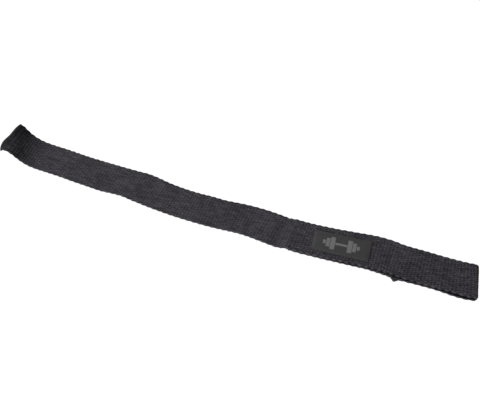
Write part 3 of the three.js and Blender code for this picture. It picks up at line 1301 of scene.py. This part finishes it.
def yarn_grain_group(slant: float = 1.7, twist_share: float = 0.45) -> bpy.types.NodeTree:
    """Grain of spun yarn on a map in millimetres.

    Twist is the sine of slanting lines across the yarn, Fuzz a fine noise, Mottle a slow one, and Height
    joins the first two for a bump.

    Args:
        slant: Length along the yarn by which a line falls back for each millimetre across it.
        twist_share: Weight of the twist in the height.

    Returns:
        The group.
    """
    sizes = {"Twist Pitch": 0.6, "Fuzz Scale": 2.6, "Mottle Scale": 0.04}
    group = open_group("yarn_grain", sizes, ("Height", "Twist", "Fuzz", "Mottle"))
    bench = NodeBench(group)
    source = bench.add("NodeGroupInput").outputs
    split = bench.add("ShaderNodeSeparateXYZ")
    bench.feed(split.inputs[0], source["Place"])
    line = bench.calc("MULTIPLY_ADD", split.outputs["Y"], slant, split.outputs["X"])
    turns = bench.calc("DIVIDE", line, source["Twist Pitch"])
    twist = bench.wave(bench.calc("MULTIPLY", turns, 2 * math.pi))
    fuzz = bench.noise(source["Place"], source["Fuzz Scale"], 3.0)
    mottle = bench.noise(source["Place"], source["Mottle Scale"], 2.0)
    height = bench.calc("MULTIPLY_ADD", twist, twist_share, fuzz)
    sink = bench.add("NodeGroupOutput").inputs
    for name, value in (("Height", height), ("Twist", twist), ("Fuzz", fuzz), ("Mottle", mottle)):
        bench.feed(sink[name], value)
    return group


def lint_group(bend_scale: float = 2.0) -> bpy.types.NodeTree:
    """Specks of lint on a map in millimetres.

    A cell pattern gives each speck a centre, a noise bends its outline, and only the share of the cells
    whose own random value is low enough holds one.

    Args:
        bend_scale: Scale of the noise that bends the outlines.

    Returns:
        The group.
    """
    group = open_group("lint_specks", {"Cell Scale": 0.2, "Speck Size": 0.08, "Share": 0.3}, ("Mask",))
    bench = NodeBench(group)
    source = bench.add("NodeGroupInput").outputs
    cells = bench.add("ShaderNodeTexVoronoi", voronoi_dimensions="2D", feature="F1")
    bench.feed(cells.inputs["Vector"], source["Place"])
    bench.feed(cells.inputs["Scale"], source["Cell Scale"])
    chance = bench.add("ShaderNodeSeparateColor")
    bench.feed(chance.inputs[0], cells.outputs["Color"])
    bend = bench.noise(source["Place"], bend_scale, 1.0)
    reach = bench.calc("MULTIPLY", source["Speck Size"], bench.calc("MULTIPLY", bend, 2.0))
    near = bench.calc("LESS_THAN", cells.outputs["Distance"], reach)
    held = bench.calc("LESS_THAN", chance.outputs[0], source["Share"])
    sink = bench.add("NodeGroupOutput").inputs
    bench.feed(sink["Mask"], bench.calc("MULTIPLY", near, held))
    return group


@dataclass(frozen=True)
class Palette:
    """Dark and light end of a finish's colour range, as linear red, green and blue."""

    dark: tuple[float, float, float]
    light: tuple[float, float, float]

    def rgba(self, light: bool) -> tuple[float, float, float, float]:
        """One end of the range with full opacity."""
        return (*(self.light if light else self.dark), 1.0)


def new_material(
    name: str, roughness: float, specular: float, sheen: float
) -> tuple[bpy.types.Material, NodeBench, bpy.types.Node]:
    """Material with one Principled shader, whose even values are set on its own sockets.

    Args:
        name: Name of the material.
        roughness: Roughness where nothing is linked.
        specular: Specular level.
        sheen: Sheen weight, the soft glow of loose fibres.

    Returns:
        The material, the bench for its tree, and the shader.
    """
    material = bpy.data.materials.new(name)
    material.use_nodes = True
    bench = NodeBench(material.node_tree)
    shader = material.node_tree.nodes["Principled BSDF"]
    shader.inputs["Roughness"].default_value = roughness
    shader.inputs["Specular IOR Level"].default_value = specular
    shader.inputs["Sheen Weight"].default_value = sheen
    shader.inputs["Sheen Roughness"].default_value = SHEEN_ROUGHNESS
    return material, bench, shader


def weave_place(bench: NodeBench) -> bpy.types.NodeSocket:
    """Place on the piece's own weave map, in millimetres."""
    return bench.add("ShaderNodeUVMap", uv_map=WEAVE_MAP).outputs[0]


def mark(bench: NodeBench, name: str) -> bpy.types.NodeSocket:
    """Value of one of the piece's marks."""
    return bench.add("ShaderNodeAttribute", attribute_name=name).outputs["Fac"]


def use_group(bench: NodeBench, group: bpy.types.NodeTree, sizes: tuple[float, ...]) -> bpy.types.Node:
    """Puts a group in a material, on the weave map, with its sizes in the order of its inputs."""
    node = bench.add("ShaderNodeGroup", node_tree=group)
    for socket, value in zip(node.inputs, (weave_place(bench), *sizes)):
        bench.feed(socket, value)
    return node


@dataclass(frozen=True)
class Finish:
    """Cloth or thread: what the finishes share.

    The grain's sizes are its twist's pitch and the scales of its fuzz and mottle. The roughness starts at
    the rough start and grows by its swing with the grain. The bump's depth is in millimetres.
    """

    palette: Palette
    roughness: float
    specular: float
    sheen: float
    grain_sizes: tuple[float, float, float]
    rough_start: float
    rough_swing: float
    bump_strength: float
    bump_depth: float

    def begin(
        self, name: str, grain: bpy.types.NodeTree
    ) -> tuple[bpy.types.Material, NodeBench, bpy.types.Node]:
        """Starts the material, and puts the yarn grain in it.

        Args:
            name: Name of the material.
            grain: The yarn grain group.

        Returns:
            The material, the bench for its tree, and the grain's node.
        """
        material, bench, _ = new_material(name, self.roughness, self.specular, self.sheen)
        return material, bench, use_group(bench, grain, self.grain_sizes)

    def complete(self, bench: NodeBench, colour: object, rough: object, height: object) -> None:
        """Feeds the shader.

        Args:
            bench: Bench of the material's tree.
            colour: The base colour.
            rough: What the roughness grows with, from 0 to 1.
            height: Height of the bump.
        """
        shader = bench.tree.nodes["Principled BSDF"]
        bench.feed(shader.inputs["Base Color"], colour)
        bench.feed(shader.inputs["Roughness"], bench.weigh(self.rough_start, (rough, self.rough_swing)))
        bump = bench.add("ShaderNodeBump")
        bump.inputs["Strength"].default_value = self.bump_strength
        bump.inputs["Distance"].default_value = self.bump_depth * MM
        bench.feed(bump.inputs["Height"], height)
        bench.feed(shader.inputs["Normal"], bump.outputs[0])

    def colour(self, bench: NodeBench, share: object) -> bpy.types.NodeSocket:
        """Colour of the palette at a share of the way from dark to light."""
        return bench.blend(share, self.palette.rgba(False), self.palette.rgba(True))


@dataclass(frozen=True)
class CottonFinish(Finish):
    """Matt charcoal cotton webbing: its yarns differ a little, painted shade darkens its valleys, and lint
    clings.

    The shares weigh the marks for relief (partly painted shade) and tone and the grain's fuzz and mottle in
    the colour.
    """

    palette: Palette = Palette((0.0055, 0.005, 0.0066), (0.041, 0.0382, 0.0453))
    lint: tuple[float, float, float, float] = (0.07, 0.07, 0.074, 1.0)
    # Painted light: the paler colour of the cut end's lit rim.
    rim: tuple[float, float, float, float] = (0.05, 0.05, 0.051, 1.0)
    roughness: float = 0.92
    specular: float = 0.1
    sheen: float = 0.02
    grain_sizes: tuple[float, float, float] = (0.75, 2.2, 0.035)
    lint_sizes: tuple[float, float, float] = (0.16, 0.05, 0.22)
    share_start: float = -0.35
    relief_share: float = 0.5
    tone_share: float = 0.42
    fuzz_share: float = 0.22
    mottle_share: float = 0.18
    rough_start: float = 0.84
    rough_swing: float = 0.16
    bump_strength: float = 0.5
    bump_depth: float = 0.06

    def material(self, grain: bpy.types.NodeTree, lint: bpy.types.NodeTree) -> bpy.types.Material:
        """Makes the finish.

        The share of the light colour is the weighed sum of the marks and the grain. The rim's mark blends in
        painted light: a paler colour on the cut end's rim, where the light falls.

        Args:
            grain: The yarn grain group.
            lint: The lint group.

        Returns:
            The material.
        """
        material, bench, yarn = self.begin("webbing_cotton_look", grain)
        specks = use_group(bench, lint, self.lint_sizes)
        # The relief mark paints shade into the weave's valleys and lightens its worn crowns.
        share = bench.weigh(
            self.share_start,
            (mark(bench, "relief"), self.relief_share),
            (mark(bench, "tone"), self.tone_share),
            (yarn.outputs["Fuzz"], self.fuzz_share),
            (yarn.outputs["Mottle"], self.mottle_share),
        )
        # Painted light on the cut end's rim, by its mark.
        colour = bench.blend(mark(bench, "rim"), self.colour(bench, share), self.rim)
        colour = bench.blend(specks.outputs["Mask"], colour, self.lint)
        self.complete(bench, colour, yarn.outputs["Fuzz"], yarn.outputs["Height"])
        return material


@dataclass(frozen=True)
class LabelFinish(Finish):
    """Smooth black damask: a fine ribbed ground and a motif in pale thread.

    The shares weigh the ribs and the grain's fuzz and mottle in the colour.
    """

    palette: Palette = Palette((0.0055, 0.0056, 0.0056), (0.0155, 0.0156, 0.0157))
    thread: Palette = Palette((0.029, 0.029, 0.0297), (0.061, 0.061, 0.0625))
    roughness: float = 0.75
    specular: float = 0.12
    sheen: float = 0.02
    grain_sizes: tuple[float, float, float] = (0.32, 3.0, 0.12)
    lint_sizes: tuple[float, float, float] = (0.2, 0.05, 0.2)
    ribs_turn: float = 14.0
    ribs_share: float = 0.3
    fuzz_share: float = 0.6
    mottle_share: float = 0.3
    ribs_height: float = 0.5
    rough_start: float = 0.65
    rough_swing: float = 0.2
    bump_strength: float = 0.5
    bump_depth: float = 0.05

    def material(self, grain: bpy.types.NodeTree, lint: bpy.types.NodeTree) -> bpy.types.Material:
        """Makes the finish.

        The ribs are a sine of the place along the label, which turns by so many radians for a millimetre.
        The motif's mark chooses between the ground's and the thread's colours.

        Args:
            grain: The yarn grain group.
            lint: The lint group.

        Returns:
            The material.
        """
        material, bench, yarn = self.begin("label_satin_look", grain)
        specks = use_group(bench, lint, self.lint_sizes)
        split = bench.add("ShaderNodeSeparateXYZ")
        bench.feed(split.inputs[0], weave_place(bench))
        ribs = bench.wave(bench.calc("MULTIPLY", split.outputs["X"], self.ribs_turn))
        fuzz, mottle = yarn.outputs["Fuzz"], yarn.outputs["Mottle"]
        terms = ((ribs, self.ribs_share), (fuzz, self.fuzz_share), (mottle, self.mottle_share))
        share = bench.weigh(0.0, *terms)
        drawn = bench.blend(share, self.thread.rgba(False), self.thread.rgba(True))
        colour = bench.blend(mark(bench, "motif"), self.colour(bench, share), drawn)
        colour = bench.blend(specks.outputs["Mask"], colour, self.thread.rgba(False))
        self.complete(bench, colour, fuzz, bench.calc("MULTIPLY_ADD", ribs, self.ribs_height, fuzz))
        return material


@dataclass(frozen=True)
class ThreadFinish(Finish):
    """Black sewing thread with a slight shine and a visible twist."""

    palette: Palette = Palette((0.01, 0.0095, 0.011), (0.036, 0.034, 0.039))
    roughness: float = 0.75
    specular: float = 0.15
    sheen: float = 0.03
    grain_sizes: tuple[float, float, float] = (0.5, 4.0, 0.2)
    twist_share: float = 0.6
    fuzz_share: float = 0.4
    rough_start: float = 0.75
    rough_swing: float = 0.15
    bump_strength: float = 0.6
    bump_depth: float = 0.06

    def material(self, grain: bpy.types.NodeTree) -> bpy.types.Material:
        """Makes the finish, light on the turns of the twist and dark between them.

        Args:
            grain: The yarn grain group.

        Returns:
            The material.
        """
        material, bench, yarn = self.begin("thread_look", grain)
        twist, fuzz = yarn.outputs["Twist"], yarn.outputs["Fuzz"]
        share = bench.weigh(0.0, (twist, self.twist_share), (fuzz, self.fuzz_share))
        self.complete(bench, self.colour(bench, share), twist, yarn.outputs["Height"])
        return material


@dataclass(frozen=True)
class SoftBox:
    """Square area light with a grid that narrows its beam to a spread in degrees."""

    name: str
    place: tuple[float, float, float]
    aim: tuple[float, float, float]
    size: float
    power: float
    spread: float

    def build(self) -> bpy.types.Object:
        """Makes the light."""
        lamp = bpy.data.lights.new(self.name, "AREA")
        lamp.shape = "SQUARE"
        lamp.size = self.size
        lamp.energy = self.power
        lamp.spread = math.radians(self.spread)
        holder = bpy.data.objects.new(self.name, lamp)
        holder.location = self.place
        holder.rotation_euler = (Vector(self.aim) - Vector(self.place)).to_track_quat("-Z", "Y").to_euler()
        bpy.context.scene.collection.objects.link(holder)
        return holder


@dataclass
class Studio:
    """White table, soft light and the camera at the photograph's angle.

    Lengths are in metres, but the lens and the sensor are in millimetres.
    """

    target: tuple[float, float, float] = (0.0119, 0.0093, 0.0)
    azimuth: float = 20.39
    elevation: float = 51.17
    distance: float = 0.6924
    lens: float = 49.89
    sensor: float = 36.0
    clip: tuple[float, float] = (0.01, 50.0)
    floor_half: float = 6.0
    floor_drop: float = 0.0001
    floor_white: float = 0.03
    floor_glow: float = 1.0
    sky: float = 0.6
    backdrop: float = 1.0
    lights: tuple[SoftBox, ...] = (
        SoftBox("key_light", (-2.43, 0.79, 2.5), (-0.1, 0.02, 0.0), 0.7, 6.0, 20.0),
        SoftBox("front_light", (-0.5, -1.3, 0.2), (0.12, 0.0, 0.0), 0.38, 4.0, 60.0),
    )

    def camera(self) -> bpy.types.Object:
        """Makes the camera, which looks at the target from its azimuth and elevation."""
        turn, rise_angle = math.radians(self.azimuth), math.radians(self.elevation)
        level = math.cos(rise_angle)
        back = Vector((math.sin(turn) * level, -math.cos(turn) * level, math.sin(rise_angle)))
        data = bpy.data.cameras.new("photo_camera")
        data.lens = self.lens
        data.sensor_width = self.sensor
        data.clip_start, data.clip_end = self.clip
        holder = bpy.data.objects.new("photo_camera", data)
        holder.location = Vector(self.target) + back * self.distance
        holder.rotation_euler = back.to_track_quat("Z", "Y").to_euler()
        bpy.context.scene.collection.objects.link(holder)
        bpy.context.scene.camera = holder
        return holder

    def floor(self) -> bpy.types.Object:
        """Makes the floor, which glows white. Its glow isn't sampled as a lamp, so the noise stays even."""
        half = self.floor_half / MM
        corners = np.array([[-half, -half], [half, -half], [half, half], [-half, half]])
        points = np.column_stack([corners, np.full(4, -self.floor_drop / MM)])
        table = shown_object("floor", solid_mesh("floor", points, np.arange(4), np.array([4])))
        material, _, shader = new_material("floor_white", 0.8, 0.1, 0.0)
        white = self.floor_white
        shader.inputs["Base Color"].default_value = (white, white, white, 1.0)
        shader.inputs["Emission Color"].default_value = WHITE
        shader.inputs["Emission Strength"].default_value = self.floor_glow
        material.cycles.emission_sampling = "NONE"
        table.data.materials.append(material)
        table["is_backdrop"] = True
        return table

    def world(self) -> None:
        """Sets an even sky. It lights with its own strength, and shows as white as the table does."""
        world = bpy.data.worlds.new("white_sky")
        world.use_nodes = True
        tree = world.node_tree
        lighting, shown = tree.nodes["Background"], tree.nodes.new("ShaderNodeBackground")
        for background, strength in ((lighting, self.sky), (shown, self.backdrop)):
            background.inputs["Color"].default_value = WHITE
            background.inputs["Strength"].default_value = strength
        rays, choice = tree.nodes.new("ShaderNodeLightPath"), tree.nodes.new("ShaderNodeMixShader")
        tree.links.new(rays.outputs["Is Camera Ray"], choice.inputs[0])
        tree.links.new(lighting.outputs[0], choice.inputs[1])
        tree.links.new(shown.outputs[0], choice.inputs[2])
        tree.links.new(choice.outputs[0], tree.nodes["World Output"].inputs["Surface"])
        bpy.context.scene.world = world

    def build(self) -> None:
        """Makes the whole studio."""
        self.camera()
        self.floor()
        self.world()
        for light in self.lights:
            light.build()
        bpy.context.scene.view_settings.view_transform = "Standard"


def dress(piece: bpy.types.Object, material: bpy.types.Material, node: str | None) -> None:
    """Gives a piece its material and its body, and hides the CAD node that it stands for.

    Args:
        piece: The piece.
        material: Its finish.
        node: The CAD node that it replaces, if any.
    """
    piece.data.materials.append(material)
    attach(piece, BODY if BODY in frame["bodies"] else next(iter(frame["bodies"])))
    if node:
        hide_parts(node)
    LOG.info("%s: %d faces", piece.name, len(piece.data.polygons))


def sewing(path: StrapPath, end_inset: float = 2.5, side_inset: float = 3.6) -> tuple[Seam, ...]:
    """Rows of stitches that hold the turned-back end.

    Args:
        path: Path of the webbing.
        end_inset: Distance from the two ends of the sewn part to the rows across it.
        side_inset: Distance from the edges to the rows along it.

    Returns:
        The two rows across and the two along.
    """
    low, high = path.sewn_start + end_inset, path.eye_start - end_inset
    side = path.width / 2 - side_inset
    across = tuple(Seam((place, -side), (place, side)) for place in (low, high))
    return (*across, *(Seam((low, edge), (high, edge)) for edge in (-side, side)))


def main() -> None:
    """Builds the strap piece by piece, then the studio."""
    logging.basicConfig(level=logging.INFO, format="%(name)s %(message)s")
    path = StrapPath()
    label = WovenLabel(path)
    rows = sewing(path)
    grain, lint = yarn_grain_group(), lint_group()
    cotton = CottonFinish().material(grain, lint)
    satin = LabelFinish().material(grain, lint)
    thread = ThreadFinish().material(grain)
    for piece in Webbing(path, rows).build():
        dress(piece, cotton, "webbing")
    dress(label.build(), satin, "woven_label")
    top = StitchRows("seam_stitches_top", path, rows, Face.TOP, label)
    under = StitchRows("seam_stitches_under", path, rows, Face.UNDER, label)
    border = StitchRows("label_stitches", path, label.border_seams(), Face.LABEL, label, radius=0.16)
    for stitches in (top, under, border):
        dress(stitches.build(), thread, None)
    Studio().build()
    boxes = {"cad": cad_box, "visual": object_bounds()}
    plain = {name: [[float(value) for value in corner] for corner in box] for name, box in boxes.items()}
    LOG.info("boxes: %s", plain)


if __name__ == "__main__":
    main()
